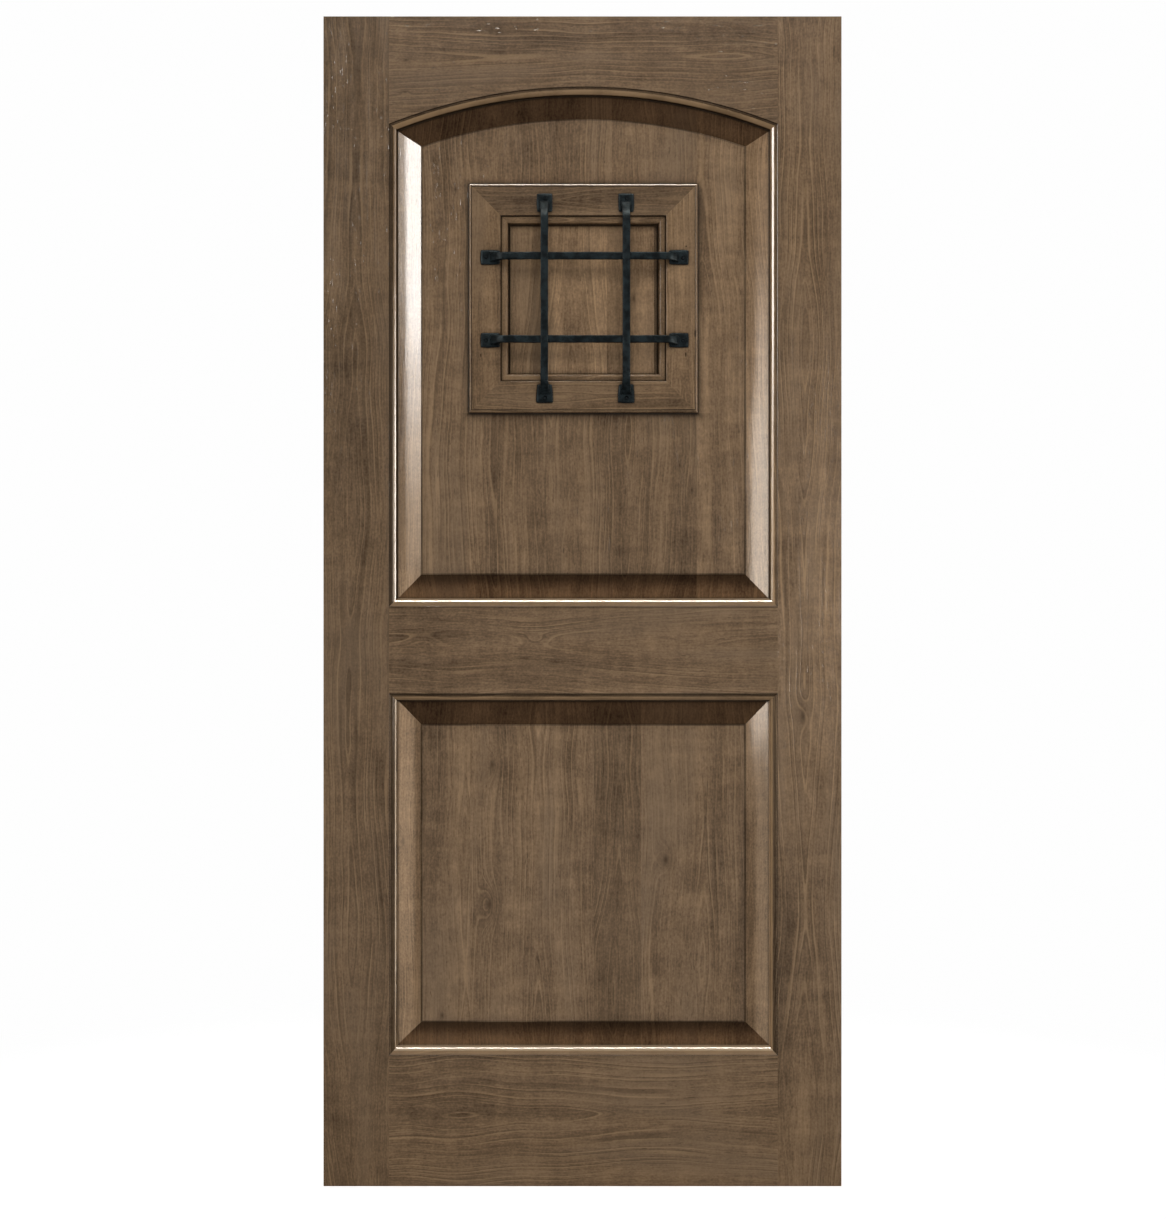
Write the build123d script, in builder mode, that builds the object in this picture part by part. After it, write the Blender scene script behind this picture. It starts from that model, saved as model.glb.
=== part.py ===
from build123d import *
import math
import os

os.makedirs("parts", exist_ok=True)

# ---------------------------------------------------------------------------
# Driving dimensions, millimetres.
# The front face looks along -Y. X runs from the hinge edge to the latch edge,
# Z up. The origin is on the hinge edge, at the bottom, mid-thickness.
# ---------------------------------------------------------------------------
door_width = 914.4
door_height = 2065.0
door_thickness = 44.45

stile_width = 115.6
panel_middle = 458.7
bottom_rail_height = 230.7
middle_rail_bottom = 869.7
middle_rail_top = 1023.3
arch_apex = 1941.2
arch_radius = 930.0

# sticking: the moulding worked on the stiles and rails round each panel
stick_width = 14.5
stick_step = 2.4
quirk_in = 0.4
quirk_down = 2.6
round_start = (3.0, 2.87)
round_middle = (7.96, 4.39)
round_end = (12.0, 7.65)
fillet_in = 12.3
fillet_down = 12.6
groove_bottom_in = 2.0
groove_half = 8.85

# raised panels
panel_edge_in = 3.5
lower_panel_edge_in = 5.0
lower_panel_up = 1.8
panel_recess = 4.0
field_in = 56.3
shoulder = 1.2
tongue_half = 8.6
cove_turn = 12.5

# speakeasy
speak_z = 1566.8
casing_outer = 201.5
casing_inner = 146.0
casing_proud = 9.0
casing_bead = 4.4
liner_thickness = 12.0
stop_width = 13.0
stop_front = 23.0
stop_back = 14.0

# hatch behind the grille
hatch_left = -141.0
hatch_right = 138.0
hatch_half_height = 141.0
hatch_front = 4.0
hatch_raise = 5.0
raise_left = -129.3
raise_right = 125.8
raise_top = 130.8
raise_bottom = -133.0

# butt hinges of the hatch
hinge_x = -143.5
hinge_out = 4.0
barrel_radius = 4.0
pin_radius = 2.0
pin_clearance = 0.1
leaf_thickness = 2.0
leaf_height = 50.0
leaf_reach = 27.0
knuckle_gap = 0.4
hinge_spacing = 95.0

# knob on the back of the hatch
knob_x = 110.0
knob_reach = 24.0
knob_radius = 10.0

# forged grille
bar_thickness = 6.0
vertical_bar_width = 13.6
level_bar_width = 13.0
foot_thickness = 3.0
level_standoff = 13.0
vertical_x = (-68.3, 75.3)
level_z = (71.5, -74.5)

# ---------------------------------------------------------------------------
half_t = door_thickness / 2
mid_x = panel_middle
right_edge = 2 * mid_x - stile_width
open_half = mid_x - stile_width
arch_z = arch_apex - arch_radius


def arch_meets(inset):
    """Height where the arch, moved in by inset, meets the stile line moved in by inset."""
    return arch_z + math.sqrt((arch_radius - inset) ** 2 - (open_half - inset) ** 2)


arch_spring = arch_meets(0)
arch_mitre = arch_meets(stick_width)
field_half = half_t - panel_recess
casing_face = field_half + casing_proud


def sticking_profile(sign, base):
    """Half sections of the sticking, front and back, as one closed outline: a quirk, a flat, a round that turns
    steeper to its edge, and a fillet. Local x runs into the opening from base, local y through the thickness."""
    def at(d, down, side):
        return (base + sign * d, side * (half_t - down))

    with BuildLine() as outline:
        Polyline(
            at(*round_start, 1),
            at(quirk_in, quirk_down, 1),
            at(0, stick_step, 1),
            at(0, stick_step, -1),
            at(quirk_in, quirk_down, -1),
            at(*round_start, -1),
        )
        ThreePointArc(
            at(*round_start, -1), at(*round_middle, -1), at(*round_end, -1)
        )
        Polyline(
            at(*round_end, -1),
            at(fillet_in, fillet_down, -1),
            at(stick_width, fillet_down, -1),
            at(stick_width, half_t - groove_half, -1),
            at(groove_bottom_in, half_t - groove_half, -1),
            at(groove_bottom_in, half_t - groove_half, 1),
            at(stick_width, half_t - groove_half, 1),
            at(stick_width, fillet_down, 1),
            at(fillet_in, fillet_down, 1),
            at(*round_end, 1),
        )
        ThreePointArc(at(*round_end, 1), at(*round_middle, 1), at(*round_start, 1))
    return outline


def cove_profile(sign, base, side):
    """What the cove takes off one face of a panel. side is -1 for the front, +1 for the back."""
    def at(d, y):
        return (base + sign * d, side * y)

    rise = field_half - shoulder - tongue_half
    run = field_in - stick_width
    hollow = math.tan(math.radians(cove_turn) / 4) / 2
    with BuildLine() as outline:
        Polyline(
            at(stick_width, tongue_half),
            at(-8, tongue_half),
            at(-8, half_t + 5),
            at(field_in, half_t + 5),
            at(field_in, field_half - shoulder),
        )
        ThreePointArc(
            at(field_in, field_half - shoulder),
            at(
                stick_width + run / 2 + rise * hollow,
                tongue_half + rise / 2 - run * hollow,
            ),
            at(stick_width, tongue_half),
        )
    return outline


# planes whose local y is the door's Y
plan = Plane.XY
radial = Plane(origin=(mid_x, 0, arch_z), x_dir=(0, 0, 1), z_dir=(-1, 0, 0))
across = Plane(origin=(0, 0, 0), x_dir=(0, 0, 1), z_dir=(-1, 0, 0))
front_view = Plane(origin=(0, 0, 0), x_dir=(1, 0, 0), z_dir=(0, -1, 0))
arch_axis = Axis((mid_x, 0, arch_z), (0, 1, 0))

# ---------------------------------------------------------------------------
# Stiles
# ---------------------------------------------------------------------------
with BuildPart() as left_stile:
    with BuildSketch(plan.offset(bottom_rail_height)) as stick:
        add(sticking_profile(1, stile_width).line)
        make_face()
    extrude(amount=arch_spring - bottom_rail_height)
    with BuildSketch(front_view) as mitres:
        with BuildLine():
            Polyline(
                (stile_width, bottom_rail_height),
                (stile_width + stick_width, bottom_rail_height + stick_width),
                (stile_width + stick_width, middle_rail_bottom - stick_width),
                (stile_width, middle_rail_bottom),
                close=True,
            )
        make_face()
        with BuildLine():
            Polyline(
                (stile_width, middle_rail_top),
                (stile_width + stick_width, middle_rail_top + stick_width),
                (stile_width + stick_width, arch_mitre),
                (stile_width, arch_spring),
                close=True,
            )
        make_face()
    extrude(amount=door_thickness, both=True, mode=Mode.INTERSECT)
    with BuildSketch(plan):
        with Locations((stile_width / 2, 0)):
            Rectangle(stile_width, door_thickness)
    extrude(amount=door_height)
left_stile.part.label = "left_stile"
export_step(left_stile.part, "parts/left_stile.step")

with BuildPart() as right_stile:
    mirror(left_stile.part, about=Plane.YZ.offset(mid_x))
    with BuildSketch(plan):
        with Locations(((mid_x + door_width) / 2, 0)):
            Rectangle(door_width - mid_x, door_thickness)
    extrude(amount=door_height, mode=Mode.INTERSECT)
right_stile.part.label = "right_stile"
export_step(right_stile.part, "parts/right_stile.step")

# ---------------------------------------------------------------------------
# Rails
# ---------------------------------------------------------------------------
with BuildPart() as bottom_rail:
    with BuildSketch(across.offset(-stile_width)):
        add(sticking_profile(1, bottom_rail_height).line)
        make_face()
    extrude(amount=-2 * open_half)
    with BuildSketch(front_view):
        with BuildLine():
            Polyline(
                (stile_width, bottom_rail_height),
                (right_edge, bottom_rail_height),
                (
                    right_edge - stick_width,
                    bottom_rail_height + stick_width,
                ),
                (stile_width + stick_width, bottom_rail_height + stick_width),
                close=True,
            )
        make_face()
    extrude(amount=door_thickness, both=True, mode=Mode.INTERSECT)
    with BuildSketch(plan):
        with Locations((mid_x, 0)):
            Rectangle(2 * open_half, door_thickness)
    extrude(amount=bottom_rail_height)
bottom_rail.part.label = "bottom_rail"
export_step(bottom_rail.part, "parts/bottom_rail.step")

with BuildPart() as middle_rail:
    with BuildSketch(across.offset(-stile_width)):
        add(sticking_profile(1, middle_rail_top).line)
        make_face()
        add(sticking_profile(-1, middle_rail_bottom).line)
        make_face()
    extrude(amount=-2 * open_half)
    with BuildSketch(front_view):
        with BuildLine():
            Polyline(
                (stile_width, middle_rail_top),
                (right_edge, middle_rail_top),
                (right_edge - stick_width, middle_rail_top + stick_width),
                (stile_width + stick_width, middle_rail_top + stick_width),
                close=True,
            )
        make_face()
        with BuildLine():
            Polyline(
                (stile_width, middle_rail_bottom),
                (stile_width + stick_width, middle_rail_bottom - stick_width),
                (
                    right_edge - stick_width,
                    middle_rail_bottom - stick_width,
                ),
                (right_edge, middle_rail_bottom),
                close=True,
            )
        make_face()
    extrude(amount=door_thickness, both=True, mode=Mode.INTERSECT)
    with BuildSketch(plan.offset(middle_rail_bottom)):
        with Locations((mid_x, 0)):
            Rectangle(2 * open_half, door_thickness)
    extrude(amount=middle_rail_top - middle_rail_bottom)
middle_rail.part.label = "middle_rail"
export_step(middle_rail.part, "parts/middle_rail.step")

# The top rail's underside is an arc, and its sticking follows the arc.
with BuildPart() as top_rail:
    with BuildSketch(radial):
        add(sticking_profile(-1, arch_radius).line)
        make_face()
    revolve(axis=arch_axis, revolution_arc=360)
    with BuildSketch(front_view):
        with BuildLine():
            Polyline(
                (stile_width, arch_spring),
                (stile_width + stick_width, arch_mitre),
                (right_edge - stick_width, arch_mitre),
                (right_edge, arch_spring),
                (mid_x, door_height),
                close=True,
            )
        make_face()
    extrude(amount=door_thickness, both=True, mode=Mode.INTERSECT)
    with BuildSketch(front_view):
        with BuildLine():
            ThreePointArc(
                (stile_width, arch_spring),
                (mid_x, arch_apex),
                (right_edge, arch_spring),
            )
            Polyline(
                (right_edge, arch_spring),
                (right_edge, door_height),
                (stile_width, door_height),
                (stile_width, arch_spring),
            )
        make_face()
    extrude(amount=half_t, both=True)
top_rail.part.label = "top_rail"
export_step(top_rail.part, "parts/top_rail.step")

# ---------------------------------------------------------------------------
# Raised panels, coved on both faces
# ---------------------------------------------------------------------------
panel_left = stile_width + panel_edge_in
panel_right = 2 * mid_x - panel_left

with BuildPart() as lower_panel:
    with BuildSketch(front_view):
        with Locations(
            (mid_x, (bottom_rail_height + middle_rail_bottom) / 2 + lower_panel_up)
        ):
            Rectangle(
                panel_right - panel_left,
                middle_rail_bottom - bottom_rail_height - 2 * lower_panel_edge_in,
            )
    extrude(amount=field_half, both=True)
    for side in (-1, 1):
        with BuildSketch(plan.offset(bottom_rail_height - 20)):
            add(cove_profile(1, stile_width, side).line)
            make_face()
            add(cove_profile(-1, right_edge, side).line)
            make_face()
        extrude(
            amount=middle_rail_bottom - bottom_rail_height + 40, mode=Mode.SUBTRACT
        )
        with BuildSketch(across.offset(-stile_width + 20)):
            add(cove_profile(1, bottom_rail_height + lower_panel_up, side).line)
            make_face()
            add(cove_profile(-1, middle_rail_bottom + lower_panel_up, side).line)
            make_face()
        extrude(amount=-2 * open_half - 40, mode=Mode.SUBTRACT)
lower_panel.part.label = "lower_panel"
export_step(lower_panel.part, "parts/lower_panel.step")

with BuildPart() as upper_panel:
    with BuildSketch(front_view):
        with BuildLine():
            edge_top = arch_meets(panel_edge_in)
            ThreePointArc(
                (panel_left, edge_top),
                (mid_x, arch_apex - panel_edge_in),
                (panel_right, edge_top),
            )
            Polyline(
                (panel_right, edge_top),
                (panel_right, middle_rail_top + panel_edge_in),
                (panel_left, middle_rail_top + panel_edge_in),
                (panel_left, edge_top),
            )
        make_face()
    extrude(amount=field_half, both=True)
    for side in (-1, 1):
        with BuildSketch(plan.offset(middle_rail_top - 20)):
            add(cove_profile(1, stile_width, side).line)
            make_face()
            add(cove_profile(-1, right_edge, side).line)
            make_face()
        extrude(amount=arch_apex - middle_rail_top + 40, mode=Mode.SUBTRACT)
        with BuildSketch(across.offset(-stile_width + 20)):
            add(cove_profile(1, middle_rail_top, side).line)
            make_face()
        extrude(amount=-2 * open_half - 40, mode=Mode.SUBTRACT)
        with BuildSketch(radial):
            add(cove_profile(-1, arch_radius, side).line)
            make_face()
        revolve(axis=arch_axis, revolution_arc=360, mode=Mode.SUBTRACT)
    with BuildSketch(front_view):
        with Locations((mid_x, speak_z)):
            Rectangle(
                2 * (casing_inner + liner_thickness),
                2 * (casing_inner + liner_thickness),
            )
    extrude(amount=door_thickness, both=True, mode=Mode.SUBTRACT)
upper_panel.part.label = "upper_panel"
export_step(upper_panel.part, "parts/upper_panel.step")

# ---------------------------------------------------------------------------
# Speakeasy: casings, liner and stops
# ---------------------------------------------------------------------------
speak_axis = Axis((mid_x, 0, speak_z), (0, 1, 0))
speak_view = Plane(origin=(mid_x, 0, speak_z), x_dir=(1, 0, 0), z_dir=(0, -1, 0))
speak_end = Plane(origin=(mid_x, 0, speak_z), x_dir=(0, 0, 1), z_dir=(-1, 0, 0))


with BuildPart() as front_casing_top:
    with BuildSketch(speak_end):
        with BuildLine():
            Polyline(
                (casing_outer, -field_half),
                (casing_outer, -casing_face + 2.8),
            )
            ThreePointArc(
                (casing_outer, -casing_face + 2.8),
                (casing_outer - 0.8, -casing_face + 0.8),
                (casing_outer - 2.6, -casing_face),
            )
            Polyline(
                (casing_outer - 2.6, -casing_face),
                (casing_outer - casing_bead + 0.5, -casing_face + 0.4),
                (casing_outer - casing_bead + 0.1, -casing_face + 1.4),
                (casing_outer - casing_bead - 0.6, -casing_face + 1.4),
                (casing_outer - casing_bead - 0.8, -casing_face),
                (casing_inner + 1.2, -casing_face),
            )
            ThreePointArc(
                (casing_inner + 1.2, -casing_face),
                (casing_inner + 0.35, -casing_face + 0.35),
                (casing_inner, -casing_face + 1.2),
            )
            Polyline(
                (casing_inner, -casing_face + 1.2),
                (casing_inner, -field_half),
                (casing_outer, -field_half),
            )
        make_face()
    extrude(amount=casing_outer, both=True)
    with BuildSketch(speak_view):
        with BuildLine():
            Polyline(
                (-casing_outer, casing_outer),
                (casing_outer, casing_outer),
                (casing_inner, casing_inner),
                (-casing_inner, casing_inner),
                close=True,
            )
        make_face()
    extrude(amount=door_thickness, both=True, mode=Mode.INTERSECT)
front_casing_top.part.label = "front_casing_top"
export_step(front_casing_top.part, "parts/front_casing_top.step")

with BuildPart() as front_casing_right:
    add(front_casing_top.part.rotate(speak_axis, 90))
front_casing_right.part.label = "front_casing_right"
export_step(front_casing_right.part, "parts/front_casing_right.step")

with BuildPart() as front_casing_bottom:
    add(front_casing_top.part.rotate(speak_axis, 180))
front_casing_bottom.part.label = "front_casing_bottom"
export_step(front_casing_bottom.part, "parts/front_casing_bottom.step")

with BuildPart() as front_casing_left:
    add(front_casing_top.part.rotate(speak_axis, 270))
front_casing_left.part.label = "front_casing_left"
export_step(front_casing_left.part, "parts/front_casing_left.step")

with BuildPart() as back_casing_top:
    mirror(front_casing_top.part, about=Plane.XZ)
back_casing_top.part.label = "back_casing_top"
export_step(back_casing_top.part, "parts/back_casing_top.step")

with BuildPart() as back_casing_bottom:
    mirror(front_casing_bottom.part, about=Plane.XZ)
back_casing_bottom.part.label = "back_casing_bottom"
export_step(back_casing_bottom.part, "parts/back_casing_bottom.step")

with BuildPart() as back_casing_left:
    mirror(front_casing_left.part, about=Plane.XZ)
back_casing_left.part.label = "back_casing_left"
export_step(back_casing_left.part, "parts/back_casing_left.step")

with BuildPart() as back_casing_right:
    mirror(front_casing_right.part, about=Plane.XZ)
back_casing_right.part.label = "back_casing_right"
export_step(back_casing_right.part, "parts/back_casing_right.step")

liner_out = casing_inner + liner_thickness

with BuildPart() as liner_top:
    with BuildSketch(speak_view):
        with Locations((0, casing_inner + liner_thickness / 2)):
            Rectangle(2 * liner_out, liner_thickness)
    extrude(amount=field_half, both=True)
liner_top.part.label = "liner_top"
export_step(liner_top.part, "parts/liner_top.step")

with BuildPart() as liner_bottom:
    with BuildSketch(speak_view):
        with Locations((0, -casing_inner - liner_thickness / 2)):
            Rectangle(2 * liner_out, liner_thickness)
    extrude(amount=field_half, both=True)
liner_bottom.part.label = "liner_bottom"
export_step(liner_bottom.part, "parts/liner_bottom.step")

with BuildPart() as liner_left:
    with BuildSketch(speak_view):
        with Locations((-casing_inner - liner_thickness / 2, 0)):
            Rectangle(liner_thickness, 2 * casing_inner)
    extrude(amount=field_half, both=True)
liner_left.part.label = "liner_left"
export_step(liner_left.part, "parts/liner_left.step")

with BuildPart() as liner_right:
    with BuildSketch(speak_view):
        with Locations((casing_inner + liner_thickness / 2, 0)):
            Rectangle(liner_thickness, 2 * casing_inner)
    extrude(amount=field_half, both=True)
liner_right.part.label = "liner_right"
export_step(liner_right.part, "parts/liner_right.step")

stop_inner = casing_inner - stop_width

with BuildPart() as stop_top:
    with BuildSketch(speak_end):
        with BuildLine():
            Polyline(
                (stop_inner, -stop_front + 4.0),
                (stop_inner, -stop_back),
                (casing_inner, -stop_back),
                (casing_inner, -stop_front + 0.6),
                (stop_inner + 6.5, -stop_front),
            )
            ThreePointArc(
                (stop_inner + 6.5, -stop_front),
                (stop_inner + 1.5, -stop_front + 1.2),
                (stop_inner, -stop_front + 4.0),
            )
        make_face()
    extrude(amount=casing_inner, both=True)
    with BuildSketch(speak_view):
        with BuildLine():
            Polyline(
                (-casing_inner, casing_inner),
                (casing_inner, casing_inner),
                (stop_inner, stop_inner),
                (-stop_inner, stop_inner),
                close=True,
            )
        make_face()
    extrude(amount=door_thickness, both=True, mode=Mode.INTERSECT)
stop_top.part.label = "stop_top"
export_step(stop_top.part, "parts/stop_top.step")

with BuildPart() as stop_right:
    add(stop_top.part.rotate(speak_axis, 90))
stop_right.part.label = "stop_right"
export_step(stop_right.part, "parts/stop_right.step")

with BuildPart() as stop_bottom:
    add(stop_top.part.rotate(speak_axis, 180))
stop_bottom.part.label = "stop_bottom"
export_step(stop_bottom.part, "parts/stop_bottom.step")

with BuildPart() as stop_left:
    add(stop_top.part.rotate(speak_axis, 270))
stop_left.part.label = "stop_left"
export_step(stop_left.part, "parts/stop_left.step")

# ---------------------------------------------------------------------------
# Hatch: a board with a raised middle, hung on two butt hinges at the back
# ---------------------------------------------------------------------------
with BuildPart() as hatch_board:
    with BuildSketch(speak_view.offset(-casing_face)):
        with Locations(((hatch_left + hatch_right) / 2, 0)):
            Rectangle(hatch_right - hatch_left, 2 * hatch_half_height)
    extrude(amount=casing_face + hatch_front)
    with BuildSketch(speak_view.offset(hatch_front)):
        with Locations(
            ((raise_left + raise_right) / 2, (raise_top + raise_bottom) / 2)
        ):
            Rectangle(raise_right - raise_left, raise_top - raise_bottom)
    extrude(amount=hatch_raise)
hatch_board.part.label = "hatch_board"
export_step(hatch_board.part, "parts/hatch_board.step")

axis_y = casing_face + hinge_out
axis_x = mid_x + hinge_x
knuckle = (leaf_height - 2 * knuckle_gap) / 3


def hinge_levels():
    return [speak_z + hinge_spacing, speak_z - hinge_spacing]


with BuildPart() as fixed_hinge_leaves:
    for level in hinge_levels():
        base = level - leaf_height / 2
        with BuildSketch(plan.offset(base)):
            with Locations((axis_x - 5.0 - (leaf_reach - 5.0) / 2, casing_face + leaf_thickness / 2)):
                Rectangle(leaf_reach - 5.0, leaf_thickness)
        extrude(amount=leaf_height)
        for start in (base, base + leaf_height - knuckle):
            with BuildSketch(plan.offset(start)):
                with Locations((axis_x - 2.75, casing_face + leaf_thickness / 2)):
                    Rectangle(5.5, leaf_thickness)
                with Locations((axis_x, axis_y)):
                    Circle(barrel_radius)
                with Locations((axis_x, axis_y)):
                    Circle(pin_radius, mode=Mode.SUBTRACT)
            extrude(amount=knuckle)
fixed_hinge_leaves.part.label = "fixed_hinge_leaves"
export_step(fixed_hinge_leaves.part, "parts/fixed_hinge_leaves.step")

with BuildPart() as hatch_hinge_leaves:
    for level in hinge_levels():
        base = level - leaf_height / 2
        with BuildSketch(plan.offset(base)):
            with Locations((axis_x + 5.0 + (leaf_reach - 5.0) / 2, casing_face + leaf_thickness / 2)):
                Rectangle(leaf_reach - 5.0, leaf_thickness)
        extrude(amount=leaf_height)
        with BuildSketch(plan.offset(base + knuckle + knuckle_gap)):
            with Locations((axis_x + 2.75, casing_face + leaf_thickness / 2)):
                Rectangle(5.5, leaf_thickness)
            with Locations((axis_x, axis_y)):
                Circle(barrel_radius)
            with Locations((axis_x, axis_y)):
                Circle(pin_radius + pin_clearance, mode=Mode.SUBTRACT)
        extrude(amount=knuckle)
hatch_hinge_leaves.part.label = "hatch_hinge_leaves"
export_step(hatch_hinge_leaves.part, "parts/hatch_hinge_leaves.step")

with BuildPart() as hinge_pins:
    for level in hinge_levels():
        with BuildSketch(plan.offset(level - leaf_height / 2)):
            with Locations((axis_x, axis_y)):
                Circle(pin_radius)
        extrude(amount=leaf_height)
        with BuildSketch(plan.offset(level + leaf_height / 2)):
            with Locations((axis_x, axis_y)):
                Circle(3.2)
        extrude(amount=2.0)
hinge_pins.part.label = "hinge_pins"
export_step(hinge_pins.part, "parts/hinge_pins.step")

# A turned knob on a round rose
with BuildPart() as hatch_knob:
    with BuildSketch(
        Plane(
            origin=(mid_x + knob_x, casing_face, speak_z),
            x_dir=(1, 0, 0),
            z_dir=(0, 0, 1),
        )
    ):
        with BuildLine():
            Polyline((0, 0), (13.0, 0), (13.0, 1.4), (11.6, 2.6), (5.4, 3.4), (4.6, 9.0))
            ThreePointArc(
                (4.6, 9.0),
                (knob_radius, 16.0),
                (3.6, knob_reach - 0.3),
            )
            Polyline((3.6, knob_reach - 0.3), (0, knob_reach), (0, 0))
        make_face()
    revolve(
        axis=Axis((mid_x + knob_x, casing_face, speak_z), (0, 1, 0)),
        revolution_arc=360,
    )
hatch_knob.part.label = "hatch_knob"
export_step(hatch_knob.part, "parts/hatch_knob.step")

# ---------------------------------------------------------------------------
# Forged grille: flat bars bent down to broad feet on the casing
# ---------------------------------------------------------------------------
level_back = casing_face + level_standoff
vertical_back = level_back + bar_thickness
foot_face = casing_face + foot_thickness


def bar_side(reach_hi, reach_lo, crown_hi, crown_lo, back):
    """Side outline of a bar: local x along the bar, local y the door's Y."""
    front = back + bar_thickness
    slope = bar_thickness * 0.9
    with BuildLine() as outline:
        Polyline(
            (reach_hi, -casing_face - 0.5),
            (reach_hi, -foot_face),
            (crown_hi, -front),
            (crown_lo, -front),
            (reach_lo, -foot_face),
            (reach_lo, -casing_face - 0.5),
            (reach_lo + slope, -casing_face - 0.5),
            (reach_lo + slope, -foot_face),
            (crown_lo + 0.6, -back),
            (crown_hi - 0.6, -back),
            (reach_hi - slope, -foot_face),
            (reach_hi - slope, -casing_face - 0.5),
            close=True,
        )
    return outline


def vertical_bar(x):
    with BuildPart() as bar:
        with BuildSketch(
            Plane(origin=(mid_x + x, 0, speak_z), x_dir=(0, 0, 1), z_dir=(-1, 0, 0))
        ):
            add(bar_side(169.5, -169.0, 144.5, -143.5, vertical_back).line)
            make_face()
        extrude(amount=vertical_bar_width / 2, both=True)
        with BuildSketch(speak_view.offset(casing_face)):
            with Locations((x, 167.7)):
                Rectangle(27.6, 32.4)
            with Locations((x, -168.3)):
                Rectangle(28.0, 32.8)
        extrude(amount=foot_thickness)
    return bar


def level_bar(z):
    with BuildPart() as bar:
        with BuildSketch(
            Plane(origin=(mid_x, 0, speak_z + z), x_dir=(1, 0, 0), z_dir=(0, 0, 1))
        ):
            add(bar_side(166.5, -163.0, 150.0, -145.5, level_back).line)
            make_face()
        extrude(amount=level_bar_width / 2, both=True)
        with BuildSketch(speak_view.offset(casing_face)):
            with Locations((168.3, z)):
                Rectangle(34.6, 25.2)
            with Locations((-163.8, z)):
                Rectangle(34.4, 25.2)
        extrude(amount=foot_thickness)
    return bar


with BuildPart() as grille_bar_left:
    add(vertical_bar(vertical_x[0]).part)
grille_bar_left.part.label = "grille_bar_left"
export_step(grille_bar_left.part, "parts/grille_bar_left.step")

with BuildPart() as grille_bar_right:
    add(vertical_bar(vertical_x[1]).part)
grille_bar_right.part.label = "grille_bar_right"
export_step(grille_bar_right.part, "parts/grille_bar_right.step")

with BuildPart() as grille_bar_upper:
    add(level_bar(level_z[0]).part)
grille_bar_upper.part.label = "grille_bar_upper"
export_step(grille_bar_upper.part, "parts/grille_bar_upper.step")

with BuildPart() as grille_bar_lower:
    add(level_bar(level_z[1]).part)
grille_bar_lower.part.label = "grille_bar_lower"
export_step(grille_bar_lower.part, "parts/grille_bar_lower.step")

# One screw head stands in each foot.
screw_places = [
    (-67.3, 175.6),
    (76.3, 175.4),
    (-67.3, -175.8),
    (76.3, -175.8),
    (-171.5, 72.0),
    (-171.5, -74.6),
    (175.6, 70.2),
    (175.6, -75.4),
]
with BuildPart() as grille_screws:
    with BuildSketch(speak_view.offset(foot_face)):
        with Locations(*screw_places):
            Circle(2.9)
    extrude(amount=0.9)
grille_screws.part.label = "grille_screws"
export_step(grille_screws.part, "parts/grille_screws.step")
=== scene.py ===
import math

import bmesh
import bpy
from mathutils import Matrix, Vector, noise


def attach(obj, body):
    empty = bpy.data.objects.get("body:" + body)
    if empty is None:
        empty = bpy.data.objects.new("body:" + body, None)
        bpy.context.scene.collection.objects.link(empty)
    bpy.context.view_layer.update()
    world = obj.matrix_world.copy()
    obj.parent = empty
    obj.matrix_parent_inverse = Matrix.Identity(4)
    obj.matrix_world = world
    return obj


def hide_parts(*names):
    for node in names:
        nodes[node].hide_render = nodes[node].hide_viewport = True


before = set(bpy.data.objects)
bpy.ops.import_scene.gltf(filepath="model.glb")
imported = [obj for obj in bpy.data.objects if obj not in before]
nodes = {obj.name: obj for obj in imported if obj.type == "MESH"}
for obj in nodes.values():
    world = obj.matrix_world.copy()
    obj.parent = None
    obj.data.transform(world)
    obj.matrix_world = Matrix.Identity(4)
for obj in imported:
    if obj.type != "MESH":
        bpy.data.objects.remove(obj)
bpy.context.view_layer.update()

scene = bpy.context.scene

# ---------------------------------------------------------------------------
# Sizes that the looks share with the frame, in metres
# ---------------------------------------------------------------------------
DOOR_W = 0.9144
MID_X = 0.4587
SPEAK_Z = 1.5668
HALF_T = 0.022225
FIELD = 0.018225
CASING = 0.027225
STILE = 0.1156
FIELD_IN = 0.0563
ARCH_R = 0.930
ARCH_Z = 1.0112
PX = 0.00176525          # one pixel of the picture on the door's front face

# ---------------------------------------------------------------------------
# Camera: square on, the picture's frame is 1166 x 1219
# ---------------------------------------------------------------------------
CAM_DIST = 3.0
cam_data = bpy.data.cameras.new("camera")
cam = bpy.data.objects.new("camera", cam_data)
scene.collection.objects.link(cam)
cam_data.sensor_width = 36.0
cam_data.lens = 36.0 * CAM_DIST / (1219 * PX)
cam_data.clip_start = 0.05
cam_data.clip_end = 60.0
cam.location = ((583.0 - 323.5) * PX, -HALF_T - CAM_DIST, (1186.2 - 609.5) * PX)
cam.rotation_euler = (math.radians(90), 0, 0)
scene.camera = cam

scene.view_settings.view_transform = "Standard"
scene.view_settings.look = "None"


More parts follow.
